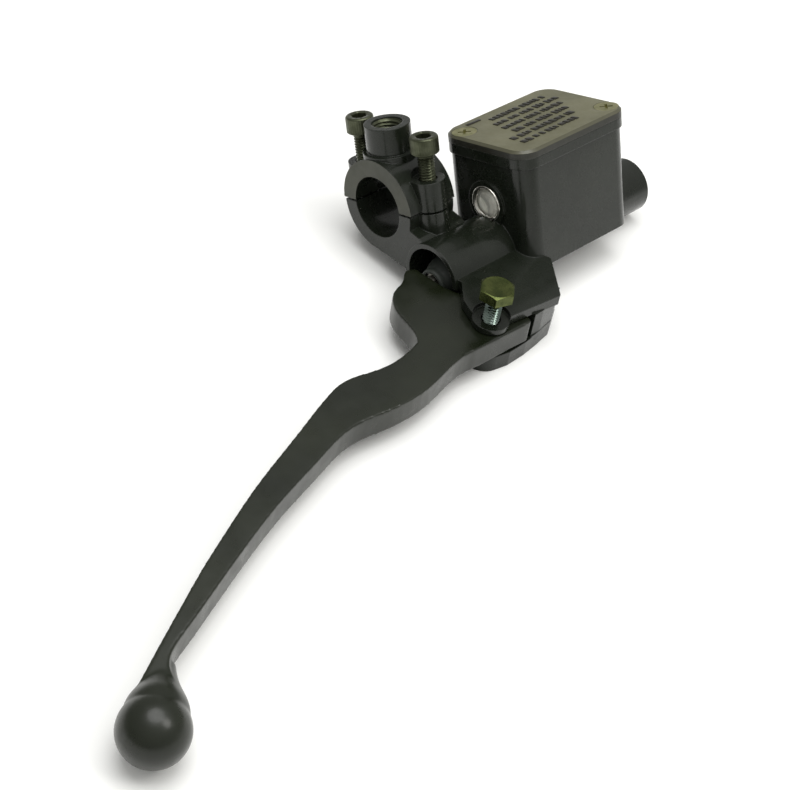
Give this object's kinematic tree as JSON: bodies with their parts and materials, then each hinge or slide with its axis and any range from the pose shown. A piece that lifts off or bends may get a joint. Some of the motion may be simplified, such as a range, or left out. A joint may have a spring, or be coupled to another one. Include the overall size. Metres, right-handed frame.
{
  "type": "brake master cylinder",
  "caption": "Right-hand front brake master cylinder with square reservoir, sight glass, handlebar clamp, mirror boss and ball-end lever.",
  "frame": {"origin": "centre of the handlebar clamp bore", "axes": "+X outboard along the handlebar, +Y forward away from the rider, +Z square to the reservoir cover, upward"},
  "size_m": [0.2969, 0.1396, 0.0903],
  "materials": {
    "cast_black": "gloss black paint on a casting",
    "cover_paint": "satin dark grey paint",
    "lever_paint": "satin black paint",
    "screw_steel": "dark zinc",
    "zinc_yellow": "pale yellow zinc",
    "bolt_zinc": "olive yellow zinc",
    "bright_ring": "polished",
    "lens_clear": "clear",
    "reflector_silver": "bright",
    "rubber_black": "matt",
    "plate_plastic": "moulded",
    "piston_alloy": "machined",
    "spring_steel": "drawn wire"
  },
  "bodies": {
    "housing": {"body_casting": "cast_black", "clamp_cap": "cast_black", "clamp_screws": "screw_steel", "reservoir_cover": "cover_paint", "cover_screws": "zinc_yellow", "diaphragm": "rubber_black", "diaphragm_plate": "plate_plastic", "splash_plate": "plate_plastic", "sight_ring": "bright_ring", "sight_lens": "lens_clear", "sight_seal": "rubber_black", "sight_reflector": "reflector_silver", "return_spring": "spring_steel", "stop_washer": "spring_steel", "circlip": "spring_steel", "dust_boot": "rubber_black", "pivot_bolt": "bolt_zinc"},
    "plunger": {"piston": "piston_alloy", "primary_cup": "rubber_black", "secondary_cup": "rubber_black"},
    "hand_lever": {"lever": "lever_paint"}
  },
  "joints": [
    {"name": "lever_pivot", "type": "hinge", "parent": "housing", "child": "hand_lever", "pos_m": [0.0132, 0.05244, -0.03239], "axis": [0, -0.342, -0.9397], "range_deg": [0, 17.8], "stiffness_Nm_per_rad": 0.6, "springref_deg": -20.05},
    {"name": "piston_slide", "type": "slide", "parent": "housing", "child": "plunger", "axis": [-1, 0, 0], "range_m": [0, 0.0096], "deforming": ["return_spring", "dust_boot"]}
  ],
  "couplings": [
    {"joint": "piston_slide", "follows": "lever_pivot", "m_per_rad": 0.0306}
  ]
}
